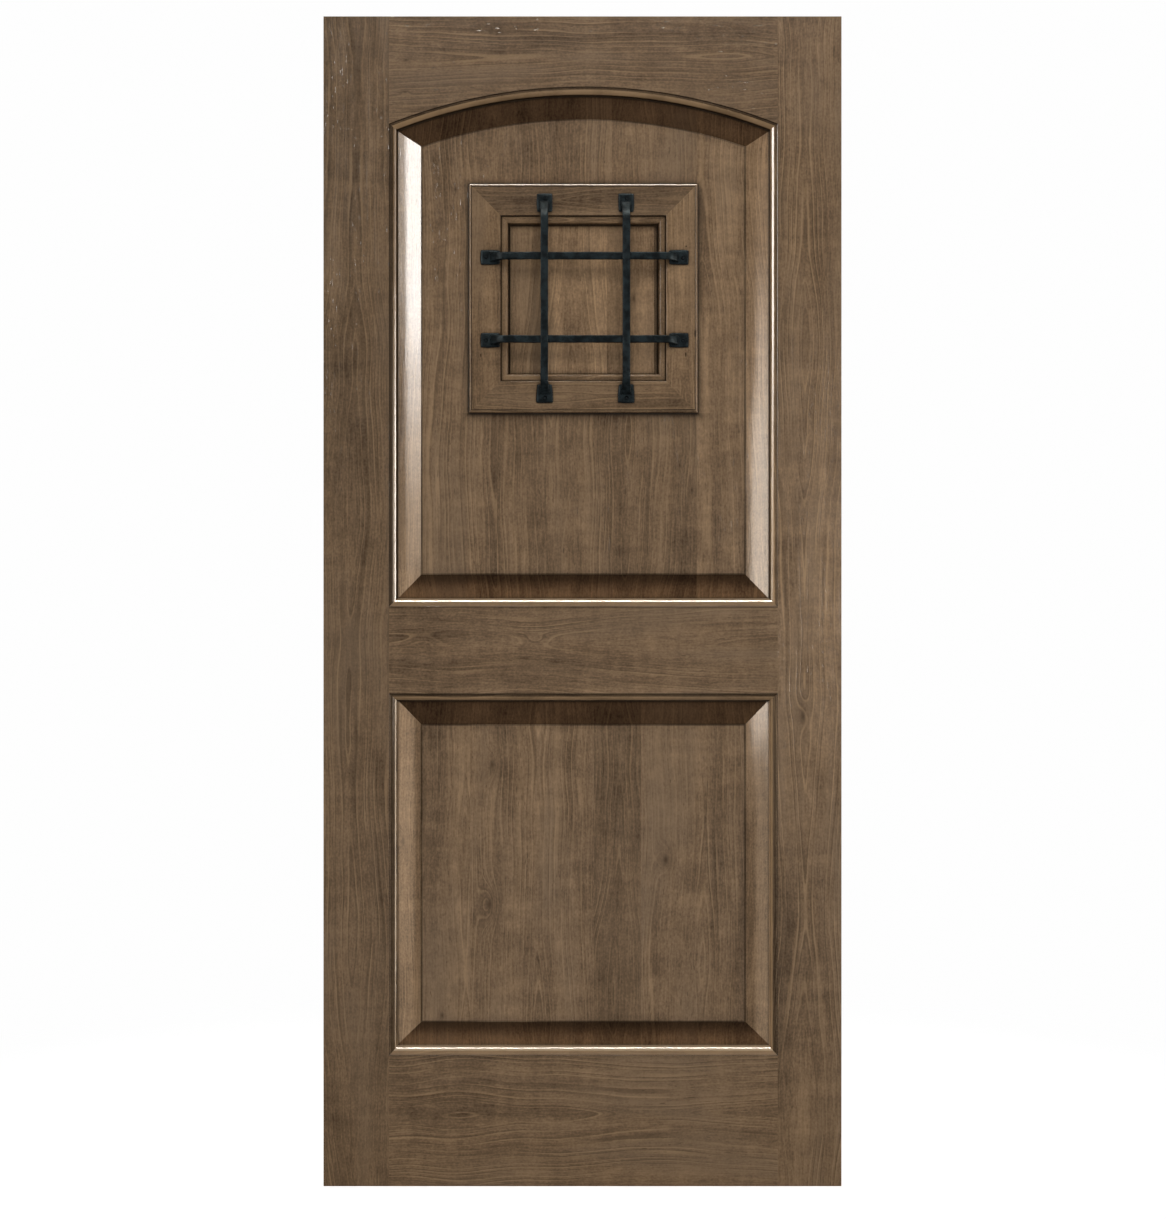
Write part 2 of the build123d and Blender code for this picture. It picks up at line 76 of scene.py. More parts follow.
# ---------------------------------------------------------------------------
# Node helpers
# ---------------------------------------------------------------------------
class Tree:
    def __init__(self, name):
        self.mat = bpy.data.materials.new(name)
        self.mat.use_nodes = True
        self.nt = self.mat.node_tree
        self.nt.nodes.clear()
        self.out = self.nt.nodes.new("ShaderNodeOutputMaterial")

    def new(self, kind):
        return self.nt.nodes.new(kind)

    def link(self, a, b):
        self.nt.links.new(a, b)

    def put(self, socket, value):
        if isinstance(value, bpy.types.NodeSocket):
            self.link(value, socket)
        elif isinstance(value, (tuple, list)) and len(value) == 3 and socket.type == "RGBA":
            socket.default_value = (*value, 1.0)
        else:
            socket.default_value = value

    def math(self, op, a, b=None, c=None, clamp=False):
        n = self.new("ShaderNodeMath")
        n.operation = op
        n.use_clamp = clamp
        self.put(n.inputs[0], a)
        if b is not None:
            self.put(n.inputs[1], b)
        if c is not None:
            self.put(n.inputs[2], c)
        return n.outputs[0]

    def add(self, a, b):
        return self.math("ADD", a, b)

    def sub(self, a, b):
        return self.math("SUBTRACT", a, b)

    def mul(self, a, b):
        return self.math("MULTIPLY", a, b)

    def smooth(self, x, lo, hi, out_lo=0.0, out_hi=1.0):
        n = self.new("ShaderNodeMapRange")
        n.interpolation_type = "SMOOTHSTEP"
        self.put(n.inputs["Value"], x)
        n.inputs["From Min"].default_value = lo
        n.inputs["From Max"].default_value = hi
        n.inputs["To Min"].default_value = out_lo
        n.inputs["To Max"].default_value = out_hi
        return n.outputs[0]

    def vec(self, x, y, z):
        n = self.new("ShaderNodeCombineXYZ")
        self.put(n.inputs[0], x)
        self.put(n.inputs[1], y)
        self.put(n.inputs[2], z)
        return n.outputs[0]

    def split(self, v):
        n = self.new("ShaderNodeSeparateXYZ")
        self.link(v, n.inputs[0])
        return n.outputs[0], n.outputs[1], n.outputs[2]

    def noise(self, v, detail=2.0, rough=0.5, scale=1.0, lac=2.0, distort=0.0):
        n = self.new("ShaderNodeTexNoise")
        n.noise_dimensions = "3D"
        self.put(n.inputs["Vector"], v)
        n.inputs["Scale"].default_value = scale
        n.inputs["Detail"].default_value = detail
        n.inputs["Roughness"].default_value = rough
        n.inputs["Lacunarity"].default_value = lac
        n.inputs["Distortion"].default_value = distort
        return n.outputs[0]

    def signed(self, v, amount, **kw):
        """noise, centred on 0, times about +-amount"""
        return self.mul(self.sub(self.noise(v, **kw), 0.5), amount * 2.0)

    def mix(self, fac, a, b, kind="MIX"):
        n = self.new("ShaderNodeMix")
        n.data_type = "RGBA"
        n.blend_type = kind
        n.clamp_factor = True
        self.put(n.inputs[0], fac)
        self.put(n.inputs[6], a)
        self.put(n.inputs[7], b)
        return n.outputs[2]

    def ramp(self, fac, stops, interp="LINEAR"):
        n = self.new("ShaderNodeValToRGB")
        r = n.color_ramp
        r.interpolation = interp
        while len(r.elements) < len(stops):
            r.elements.new(0.5)
        for e, (p, c) in zip(r.elements, stops):
            e.position = p
            e.color = (*c, 1.0)
        self.put(n.inputs[0], fac)
        return n.outputs[0]

    def occlusion(self, distance, inside=False, local=False, samples=6):
        n = self.new("ShaderNodeAmbientOcclusion")
        n.samples = samples
        n.inside = inside
        n.only_local = local
        n.inputs["Distance"].default_value = distance
        return n.outputs["AO"]


# ---------------------------------------------------------------------------
# Wood
# ---------------------------------------------------------------------------
LIGHT = (0.262, 0.166, 0.090)
MIDDLE = (0.166, 0.105, 0.058)
DARK = (0.082, 0.051, 0.029)
GREY = (0.138, 0.096, 0.062)
TAN = (0.335, 0.216, 0.115)
# the pale colour below is a painted highlight on the ledges' mouldings
HIGHLIGHT_PALE = (0.62, 0.47, 0.31)
# the dark colour below is both real glaze, kept in marks of wear, and painted shade in corners, gaps and round the
# casing
GLAZE_AND_SHADE = (0.012, 0.0072, 0.0038)
KNOT = (0.034, 0.020, 0.011)


def wood(
    name,
    grain,
    seed,
    centre=0.0,
    pith=0.06,
    swing=0.040,
    drift=0.014,
    lines=112.0,
    tone=1.0,
    figure=1.0,
    shades=(),
    boards=(),
    eyes=(),
    knots=(),
    end_tint=(0.335, 0.295, 0.27),
    gloss=0.135,
    coat=1.0,
    field=None,
    stick=(),
    gap_shade=None,
    nicks=(),
    island=None,
    painted_cove_light=1.0,
):
    """Stained flat-sawn wood in the object's own coordinates. grain is the axis along the board, centre the middle
    of the figure across it. boards are glue lines across the face: (position, seed shift, tone, centre shift). eyes
    and knots are (along, across, length, width, strength), shades are (along, length, gain), gap_shade is a painted
    shade, a dark line inside a square round the speakeasy's middle: (half its side, line width, strength), nicks are
    marks of wear that hold glaze: (x, z, half length, half width)."""
    t = Tree(name)
    tc = t.new("ShaderNodeTexCoord")
    x, y, z = t.split(tc.outputs["Object"])
    if grain == "Z":
        u, v, w = z, x, y
    else:
        u, v, w = x, z, y

    shift, board_tone, middle = seed * 3.17, tone, centre
    for place, jump, gain, centre_jump in boards:
        step = t.math("GREATER_THAN", v, place)
        shift = t.add(t.mul(step, jump), shift)
        board_tone = t.add(t.mul(step, gain), board_tone)
        middle = t.add(t.mul(step, centre_jump), middle)
    for along, length, gain in shades:
        d = t.math("DIVIDE", t.sub(u, along), length)
        board_tone = t.add(t.mul(t.math("EXPONENT", t.mul(t.mul(d, d), -1.0)), gain), board_tone)

    us = t.add(u, shift)
    # the fibres wander: everything below follows them
    warp = t.add(
        t.signed(t.vec(t.mul(us, 2.1), t.mul(v, 6.0), t.mul(w, 6.0)), 0.011, detail=1.0),
        t.signed(t.vec(t.mul(us, 8.5), t.mul(v, 24.0), t.mul(w, 24.0)), 0.0028, detail=2.0),
    )
    vw = t.add(v, warp)
    # the board's distance from the middle of the tree rises and falls along its length: that draws the cathedrals
    depth = t.add(
        t.add(
            t.signed(t.vec(t.mul(us, 1.1), seed * 1.3, 0.3), swing, detail=1.0),
            t.signed(t.vec(t.mul(us, 3.9), seed * 2.1, 4.3), swing * 0.42, detail=1.0),
        ),
        pith,
    )
    side = t.signed(t.vec(t.mul(us, 0.9), 7.7 + seed, 1.9), drift, detail=1.0)
    across = t.sub(t.sub(vw, middle), side)
    radius = t.add(
        t.math("SQRT", t.add(t.math("POWER", across, 2.0), 0.000036)),
        t.add(depth, t.mul(w, 0.5)),
    )
    knot_core = knot_halo = None
    for kind, marks in (("eye", eyes), ("knot", knots)):
        for along, over, length, width, strength in marks:
            du = t.math("DIVIDE", t.sub(u, along), length)
            dv = t.math("DIVIDE", t.sub(v, over), width)
            d2 = t.add(t.mul(du, du), t.mul(dv, dv))
            radius = t.add(radius, t.mul(t.math("EXPONENT", t.mul(d2, -1.0)), strength))
            if kind == "knot":
                core = t.math("EXPONENT", t.mul(d2, -11.0))
                cast = t.math("EXPONENT", t.mul(d2, -0.9))
                knot_core = core if knot_core is None else t.math("MAXIMUM", knot_core, core)
                knot_halo = cast if knot_halo is None else t.math("MAXIMUM", knot_halo, cast)

    # rings: a thin dark line that ends at a thin pale one
    turns = t.add(
        t.mul(radius, lines),
        t.signed(t.vec(t.mul(radius, 34.0), seed, t.mul(us, 0.6)), 2.6, detail=2.0),
    )
    ring = t.math("FRACT", turns)
    dark_line = t.mul(t.smooth(ring, 0.62, 0.88), t.smooth(ring, 0.99, 0.92))
    pale_line = t.mul(t.smooth(ring, 0.0, 0.05), t.smooth(ring, 0.30, 0.12))
    near_ring = t.noise(t.vec(t.mul(us, 5.0), t.math("FLOOR", turns), seed), detail=1.0)
    zone = t.noise(t.vec(t.mul(us, 1.7), t.mul(vw, 11.0), seed + 3.0), detail=2.0)
    strength = t.mul(t.smooth(near_ring, 0.36, 0.60, 0.10, 1.0), t.smooth(zone, 0.36, 0.56, 0.30 * figure, figure))
    grit = t.noise(t.vec(t.mul(us, 230.0), t.mul(vw, 300.0), t.mul(w, 300.0)), detail=1.0)

    fibre = t.noise(t.vec(t.mul(us, 27.0), t.mul(vw, 330.0), t.mul(w, 330.0)), detail=3.0, rough=0.62)
    hair = t.noise(t.vec(t.mul(us, 48.0), t.mul(vw, 620.0), t.mul(w, 620.0)), detail=2.0, rough=0.6)
    mottle = t.noise(t.vec(t.mul(us, 11.0), t.mul(vw, 66.0), t.mul(w, 66.0)), detail=2.0, rough=0.55)
    band = t.noise(t.vec(t.mul(us, 1.6), t.mul(vw, 33.0), t.mul(w, 33.0)), detail=2.0, rough=0.5)
    cloud = t.noise(t.vec(t.mul(us, 2.0), t.mul(v, 10.5), t.mul(w, 10.5)), detail=2.0, rough=0.50, distort=0.4)
    curl = t.noise(t.vec(t.mul(us, 46.0), t.mul(v, 13.0), t.mul(w, 13.0)), detail=2.0)
    dash = t.noise(t.vec(t.mul(us, 62.0), t.mul(vw, 410.0), t.mul(w, 410.0)), detail=1.0)
    crowd = t.noise(t.vec(t.mul(us, 4.0), t.mul(vw, 30.0), seed), detail=1.0)
    pores = t.mul(t.smooth(dash, 0.66, 0.76), t.smooth(crowd, 0.40, 0.62, 0.25, 1.0))

    body = t.add(
        t.add(t.mul(t.sub(fibre, 0.5), 0.90), t.mul(t.sub(mottle, 0.5), 0.50)),
        t.add(t.mul(t.sub(band, 0.5), 0.78), t.mul(t.sub(cloud, 0.5), 1.30)),
    )
    body = t.add(body, t.add(t.mul(t.sub(hair, 0.5), 0.32), t.mul(t.sub(curl, 0.5), 0.62)))
    body = t.add(body, t.add(t.mul(t.sub(grit, 0.5), 0.75), 0.53))
    colour = t.ramp(body, [(0.0, DARK), (0.5, MIDDLE), (1.0, LIGHT)])
    colour = t.mix(t.smooth(cloud, 0.47, 0.72, 0.0, 0.45), colour, GREY)
    colour = t.mix(t.mul(t.mul(dark_line, strength), 0.42), colour, (0.055, 0.033, 0.018))
    colour = t.mix(t.mul(t.mul(pale_line, strength), 0.50), colour, TAN)
    colour = t.mix(t.mul(pores, 0.50), colour, KNOT)
    if knot_core is not None:
        colour = t.mix(t.mul(knot_halo, 0.38), colour, DARK)
        colour = t.mix(t.mul(knot_core, 0.66), colour, KNOT)

    # the stain goes deep, and dark, where the surface cuts across the grain
    geo = t.new("ShaderNodeNewGeometry")
    nx, ny, nz = t.split(geo.outputs["True Normal"])
    cut = t.math("ABSOLUTE", nz if grain == "Z" else nx)
    ends = t.smooth(cut, 0.012, 0.09)
    colour = t.mix(ends, colour, end_tint, "MULTIPLY")
    if field is not None:
        # painted light: on the end grain of the lower coves the colour is lighter towards the moulding and darker by
        # the field, standing in for light reflected from low in front; the other end-grain coves are painted darker
        # (0.88), as painted shade
        below = t.math("SUBTRACT", field[2], z)
        lift = t.smooth(below, 0.004, 0.038, 0.66, painted_cove_light)
        cove_light_scale = t.math("ADD", 0.88, t.mul(t.math("GREATER_THAN", below, 0.0), t.sub(lift, 0.88)))
        cove_light_scale = t.math("ADD", 1.0, t.mul(ends, t.sub(cove_light_scale, 1.0)))
        cove_lit = t.new("ShaderNodeVectorMath")
        cove_lit.operation = "SCALE"
        t.link(colour, cove_lit.inputs[0])
        t.put(cove_lit.inputs["Scale"], cove_light_scale)
        colour = cove_lit.outputs[0]

    # the corners of the mouldings are darkened, partly glaze left there and partly painted shade, with a soft painted
    # shade round them
    crevice = t.smooth(t.occlusion(0.0065, samples=6), 0.90, 0.42)
    halo = t.smooth(t.occlusion(0.018, samples=5), 0.97, 0.45)
    rim = t.occlusion(0.0016, inside=True, local=True, samples=4)
    edge_lift = t.mul(t.smooth(rim, 0.80, 0.35), t.smooth(mottle, 0.38, 0.60, 0.3, 1.0))

    scaled = t.new("ShaderNodeVectorMath")
    scaled.operation = "SCALE"
    t.link(colour, scaled.inputs[0])
    t.put(scaled.inputs["Scale"], board_tone)
    colour = scaled.outputs[0]
    colour = t.mix(t.mul(edge_lift, 0.30), colour, TAN)
    # painted shade: the soft band round the mouldings, then the corners themselves
    colour = t.mix(t.mul(halo, 0.60), colour, GLAZE_AND_SHADE)
    colour = t.mix(t.mul(crevice, 0.86), colour, GLAZE_AND_SHADE)
    if field is not None:
        # painted shade: a dark line along the rim of the raised field, where its shoulder is in shade, and a soft
        # painted shade just inside the rim
        left, right, low, high, arch_mid, arch_r = field
        d = t.math("MINIMUM", t.sub(x, left), t.math("SUBTRACT", right, x))
        d = t.math("MINIMUM", d, t.sub(z, low))
        if arch_r:
            ax, az = t.sub(x, arch_mid[0]), t.sub(z, arch_mid[1])
            reach = t.math("SQRT", t.add(t.mul(ax, ax), t.mul(az, az)))
            top = t.math("SUBTRACT", arch_r, reach)
        else:
            top = t.math("SUBTRACT", high, z)
        d = t.math("MINIMUM", d, top)
        line = t.mul(t.smooth(d, -0.0014, 0.0004), t.smooth(d, 0.0034, 0.0016))
        shade = t.mul(t.smooth(d, -0.001, 0.0), t.smooth(d, 0.016, 0.001))
        patchy = t.smooth(t.noise(t.vec(t.mul(x, 9.0), t.mul(z, 9.0), seed), detail=2.0), 0.3, 0.6, 0.55, 1.0)
        colour = t.mix(t.mul(t.mul(line, patchy), 0.72), colour, GLAZE_AND_SHADE)
        colour = t.mix(t.mul(shade, 0.14), colour, GLAZE_AND_SHADE)

    # painted light on the moulding along the frame's edges, each (axis, sign, edge, quirk above and below the middle
    # rail, crown, groove): painted shade in the quirk, a crown painted lighter as a painted highlight, painted shade
    # in a line beside the panel
    gleam = None
    for axis, sign, base, wide, quirk_high, quirk_low, crown_mix, groove_mix in stick:
        low = t.math("LESS_THAN", z, 0.95)
        if axis == "arch":
            ax, az = t.sub(x, MID_X), t.sub(z, ARCH_Z)
            d = t.math("SUBTRACT", ARCH_R, t.math("SQRT", t.add(t.mul(ax, ax), t.mul(az, az))))
        elif axis == "x":
            d = t.sub(t.mul(t.sub(x, base), sign), t.mul(low, 0.0028))
        else:
            d = t.mul(t.sub(z, base), sign)
        patchy = t.smooth(t.noise(t.vec(t.mul(u, 14.0), seed, 0.7), detail=3.0), 0.35, 0.62)
        if axis == "z" and sign > 0:
            # a ledge: it looks up, and is painted light right across as a painted highlight; on a ledge the quirk_low
            # slot sets a painted pale highlight on its ridge and lip, and painted shade runs along its outer edge
            edge = t.mul(t.smooth(d, -0.0040, -0.0018), t.smooth(d, 0.0004, -0.0008))
            quirk = t.mul(edge, quirk_high)
            crown = t.mul(t.smooth(d, -0.0002, 0.0012), t.smooth(d, 0.0180, 0.0150))
            ridge = t.mul(t.smooth(d, 0.0070, 0.0084), t.smooth(d, 0.0112, 0.0098))
            lip = t.mul(t.smooth(d, 0.0118, 0.0128), t.smooth(d, 0.0150, 0.0138))
            colour = t.mix(t.mul(crown, t.add(t.mul(patchy, 0.20), crown_mix)), colour, TAN)
            colour = t.mix(t.mul(t.math("MAXIMUM", ridge, t.mul(lip, 0.6)), quirk_low), colour, HIGHLIGHT_PALE)
            colour = t.mix(quirk, colour, GLAZE_AND_SHADE)
            groove = t.mul(t.smooth(d, 0.0150, 0.0156), groove_mix)
        else:
            amount = t.add(t.mul(low, quirk_low - quirk_high), quirk_high)
            quirk = t.mul(t.mul(t.smooth(d, -0.0010, 0.0006), t.smooth(d, wide + 0.0014, wide)), amount)
            crown = t.mul(t.smooth(d, wide, wide + 0.0016), t.smooth(d, 0.0126, 0.0112))
            groove = t.mul(t.smooth(d, 0.0116, 0.0128), groove_mix)
            crown_light = t.add(t.mul(patchy, 0.28), crown_mix)
            # painted highlight: the right moulding's crown is lighter still beside the lower panel
            if axis == "x" and sign < 0:
                crown_light = t.add(crown_light, t.mul(low, 0.36))
            colour = t.mix(t.mul(crown, crown_light), colour, TAN)
            colour = t.mix(quirk, colour, GLAZE_AND_SHADE)
            dull = t.math("MAXIMUM", quirk, t.mul(t.smooth(d, 0.0108, 0.0120), groove_mix))
            if axis == "x" and sign > 0:
                # the left moulding is duller beside the lower panel
                dull = t.math("MAXIMUM", dull, t.mul(t.mul(low, t.smooth(d, 0.0, 0.002)), 0.50))
            gleam = dull if gleam is None else t.math("MAXIMUM", gleam, dull)
        colour = t.mix(groove, colour, GLAZE_AND_SHADE)
    if island is not None:
        # shade round the casing that stands on the board
        dx = t.math("ABSOLUTE", t.sub(x, MID_X))
        dz = t.math("ABSOLUTE", t.sub(z, SPEAK_Z))
        out = t.sub(t.math("MAXIMUM", dx, dz), island)
        out = t.math("MAXIMUM", t.sub(out, 0.0012), 0.0)
        ring_shade = t.math("EXPONENT", t.mul(out, -160.0))
        tight = t.math("EXPONENT", t.mul(out, -430.0))
        under = t.mul(t.math("EXPONENT", t.mul(out, -80.0)), t.math("LESS_THAN", z, SPEAK_Z - island))
        colour = t.mix(t.mul(ring_shade, 0.46), colour, GLAZE_AND_SHADE)
        colour = t.mix(t.mul(tight, 0.60), colour, GLAZE_AND_SHADE)
        colour = t.mix(t.mul(under, 0.40), colour, GLAZE_AND_SHADE)

    if gap_shade is not None:
        # painted shade: a dark line where this piece meets the square one round it, standing in for the shadow in the
        # gap there, stronger on the left and right sides
        half, wide, strong = gap_shade
        dx = t.math("ABSOLUTE", t.sub(x, MID_X))
        dz = t.math("ABSOLUTE", t.sub(z, SPEAK_Z))
        inward = t.math("SUBTRACT", half, t.math("MAXIMUM", dx, dz))
        line = t.mul(t.smooth(inward, wide + 0.0010, wide - 0.0008), t.smooth(inward, -0.0030, -0.0012))
        line = t.mul(line, t.mul(t.math("LESS_THAN", y, -0.0020), strong))
        sideways = t.math("GREATER_THAN", dx, dz)
        line = t.mul(line, t.add(t.mul(sideways, 0.5), 0.5))
        colour = t.mix(line, colour, GLAZE_AND_SHADE)
    for nick_x, nick_z, tall, across in nicks:
        dx = t.math("DIVIDE", t.sub(x, nick_x), across)
        dz = t.math("DIVIDE", t.sub(z, nick_z), tall)
        inside = t.smooth(t.add(t.mul(dx, dx), t.mul(dz, dz)), 1.3, 0.5)
        colour = t.mix(t.mul(inside, 0.85), colour, GLAZE_AND_SHADE)

    bsdf = t.new("ShaderNodeBsdfPrincipled")
    t.put(bsdf.inputs["Base Color"], colour)
    bsdf.inputs["Roughness"].default_value = 0.55
    bsdf.inputs["IOR"].default_value = 1.5
    bsdf.inputs["Specular IOR Level"].default_value = 0.0
    polish = t.mul(t.math("SUBTRACT", 1.0, ends), t.math("SUBTRACT", coat, t.mul(crevice, 0.6 * coat)))
    if gleam is not None:
        polish = t.mul(polish, t.math("SUBTRACT", 1.0, gleam))
    t.put(bsdf.inputs["Coat Weight"], polish)
    t.put(
        bsdf.inputs["Coat Roughness"],
        t.add(t.mul(t.sub(mottle, 0.5), 0.10), t.add(t.mul(crevice, 0.25), gloss)),
    )
    bsdf.inputs["Coat IOR"].default_value = 1.5

    height = t.add(
        t.add(t.mul(fibre, 0.000050), t.mul(hair, 0.000022)),
        t.add(t.mul(t.mul(dark_line, strength), -0.000030), t.mul(mottle, 0.000055)),
    )
    height = t.add(height, t.mul(pores, -0.00007))
    bump = t.new("ShaderNodeBump")
    bump.inputs["Strength"].default_value = 1.0
    bump.inputs["Distance"].default_value = 1.0
    t.link(height, bump.inputs["Height"])
    t.link(bump.outputs[0], bsdf.inputs["Normal"])
    t.link(bump.outputs[0], bsdf.inputs["Coat Normal"])
    t.link(bsdf.outputs[0], t.out.inputs[0])
    return t.mat


def px(x, y):
    """A picture pixel on the door's front face: (x, z) in metres."""
    return ((x - 323.5) * PX, (1186.2 - y) * PX)


def mark(x, y, along, across, strength, grain):
    """An eye or a knot at a picture pixel, its sizes in metres."""
    X, Z = px(x, y)
    return (Z, X, along, across, strength) if grain == "Z" else (X, Z, along, across, strength)


WOODS = {
    "left_stile": dict(
        grain="Z",
        seed=1.0,
        centre=0.054,
        pith=0.040,
        swing=0.050,
        tone=0.93,
        shades=((1.98, 0.42, -0.11),),
        stick=(("x", 1, STILE, 0.0064, 0.66, 0.62, 0.10, 0.80),),
    ),
    "right_stile": dict(
        grain="Z",
        seed=2.3,
        centre=DOOR_W - 0.066,
        pith=0.036,
        swing=0.050,
        tone=1.06,
        shades=((1.02, 0.42, 0.26),),
        knots=(mark(803, 716, 0.030, 0.011, 0.010, "Z"),),
        stick=(("x", -1, 2 * MID_X - STILE, 0.0048, 0.16, 0.62, 0.22, 0.40),),
    ),
    "top_rail": dict(
        grain="X",
        seed=3.1,
        centre=1.992,
        pith=0.040,
        swing=0.042,
        tone=0.95,
        knots=(mark(406, 60, 0.014, 0.006, 0.007, "X"), mark(405, 92, 0.010, 0.005, 0.006, "X")),
        stick=(("arch", 1, 0.0, 0.0034, 0.42, 0.42, 0.42, 0.75),),
    ),
    "middle_rail": dict(
        grain="X",
        seed=4.6,
        centre=0.960,
        pith=0.038,
        swing=0.050,
        tone=1.06,
        eyes=(
            mark(425, 641, 0.040, 0.012, 0.014, "X"),
            mark(536, 640, 0.030, 0.010, 0.012, "X"),
            mark(688, 639, 0.045, 0.010, 0.012, "X"),
        ),
        stick=(("z", 1, 1.0233, 0.0, 0.50, 0.30, 0.30, 0.0), ("z", -1, 0.8697, 0.0048, 0.62, 0.62, 0.18, 0.75)),
    ),
    "bottom_rail": dict(
        grain="X",
        seed=5.4,
        centre=0.125,
        pith=0.052,
        swing=0.060,
        tone=1.05,
        stick=(("z", 1, 0.2307, 0.0, 0.12, 0.62, 0.40, 0.0),),
    ),
    "upper_panel": dict(
        grain="Z",
        field=(
            STILE + FIELD_IN,
            2 * MID_X - STILE - FIELD_IN,
            1.0233 + FIELD_IN,
            0.0,
            (MID_X, 1.0112),
            0.930 - FIELD_IN,
        ),
        island=0.2015,
        painted_cove_light=2.1,
        seed=6.2,
        centre=0.300,
        pith=0.085,
        swing=0.050,
        figure=0.80,
        tone=1.12,
        boards=(
            ((497 - 323.5) * PX, 5.3, -0.07, 0.10),
            ((612 - 323.5) * PX, 8.9, 0.01, 0.14),
            ((697 - 323.5) * PX, 3.7, 0.19, 0.13),
        ),
        knots=(
            mark(455, 189, 0.012, 0.006, 0.006, "Z"),
            mark(680, 465, 0.014, 0.006, 0.006, "Z"),
            mark(692, 490, 0.014, 0.006, 0.006, "Z"),
        ),
    ),
    "lower_panel": dict(
        grain="Z",
        field=(
            STILE + FIELD_IN,
            2 * MID_X - STILE - FIELD_IN,
            0.2325 + FIELD_IN,
            0.8715 - FIELD_IN,
            None,
            None,
        ),
        painted_cove_light=2.0,
        seed=7.9,
        centre=0.250,
        pith=0.080,
        swing=0.055,
        figure=0.74,
        tone=1.16,
        boards=(
            ((470 - 323.5) * PX, 4.1, 0.02, 0.13),
            ((594 - 323.5) * PX, 6.1, -0.21, 0.14),
            ((641 - 323.5) * PX, 2.9, 0.16, 0.15),
        ),
        knots=(
            mark(402, 843, 0.024, 0.012, 0.024, "Z"),
            mark(492, 765, 0.024, 0.011, 0.018, "Z"),
            mark(489, 905, 0.036, 0.016, 0.030, "Z"),
            mark(666, 860, 0.026, 0.015, 0.030, "Z"),
            mark(442, 1016, 0.014, 0.008, 0.008, "Z"),
        ),
    ),
    "hatch_board": dict(
        grain="Z",
        seed=9.7,
        centre=0.440,
        pith=0.055,
        swing=0.050,
        tone=1.02,
        boards=(
            # painted shade, not a glue line: the strip left of here stays darker, standing in for the shadow of the
            # casing on the hatch
            ((540 - 323.5) * PX, 0.0, 0.44, 0.0),
            ((607 - 323.5) * PX, 5.7, -0.14, 0.09),
        ),
        knots=(mark(634, 297, 0.020, 0.008, 0.009, "Z"),),
        figure=0.7,
        coat=0.3,
        gap_shade=(0.133, 0.0032, 0.85),
    ),
}
for side, tones in (("front", (0.89, 0.92, 1.06, 1.19)), ("back", (0.95, 0.95, 1.0, 1.0))):
    s = 11.0 if side == "front" else 17.0
    for i, (where, grain) in enumerate(
        (("top", "X"), ("bottom", "X"), ("left", "Z"), ("right", "Z"))
    ):
        c = {
            "top": SPEAK_Z + 0.175,
            "bottom": SPEAK_Z - 0.175,
            "left": MID_X - 0.175,
            "right": MID_X + 0.175,
        }[where]
        WOODS[f"{side}_casing_{where}"] = dict(
            grain=grain,
            seed=s + i * 1.37,
            centre=c,
            pith=0.060,
            swing=0.030,
            tone=tones[i],
            coat=(1.0, 0.3, 0.15, 0.2)[i],
            figure=0.8,
        )
WOODS["front_casing_right"]["nicks"] = (
    (*px(695, 334), 0.0080, 0.0017),
    (*px(685.6, 355), 0.0044, 0.0013),
    (*px(698, 251.5), 0.0042, 0.0013),
    (*px(686, 247), 0.0016, 0.0012),
)
WOODS["front_casing_left"]["nicks"] = ((*px(481, 356), 0.0035, 0.0010),)
for i, (where, grain) in enumerate(
    (("top", "X"), ("bottom", "X"), ("left", "Z"), ("right", "Z"))
):
    c = {
        "top": SPEAK_Z + 0.14,
        "bottom": SPEAK_Z - 0.14,
        "left": MID_X - 0.14,
        "right": MID_X + 0.14,
    }[where]
    WOODS[f"liner_{where}"] = dict(grain=grain, seed=23.0 + i, centre=c, tone=0.9, coat=0.3)
    WOODS[f"stop_{where}"] = dict(grain=grain, seed=29.0 + i, centre=c, pith=0.09, tone=1.05, coat=0.12)
    WOODS[f"stop_{where}"]["gap_shade"] = (0.146, 0.0020, 0.85)

for node, how in WOODS.items():
    o = nodes[node]
    o.data.materials.clear()
    o.data.materials.append(wood("wood_" + node, **how))
    ease = o.modifiers.new("eased_edges", "BEVEL")
    ease.width = 0.0006
    ease.segments = 2
    ease.limit_method = "ANGLE"
    ease.angle_limit = math.radians(42)
    ease.harden_normals = False


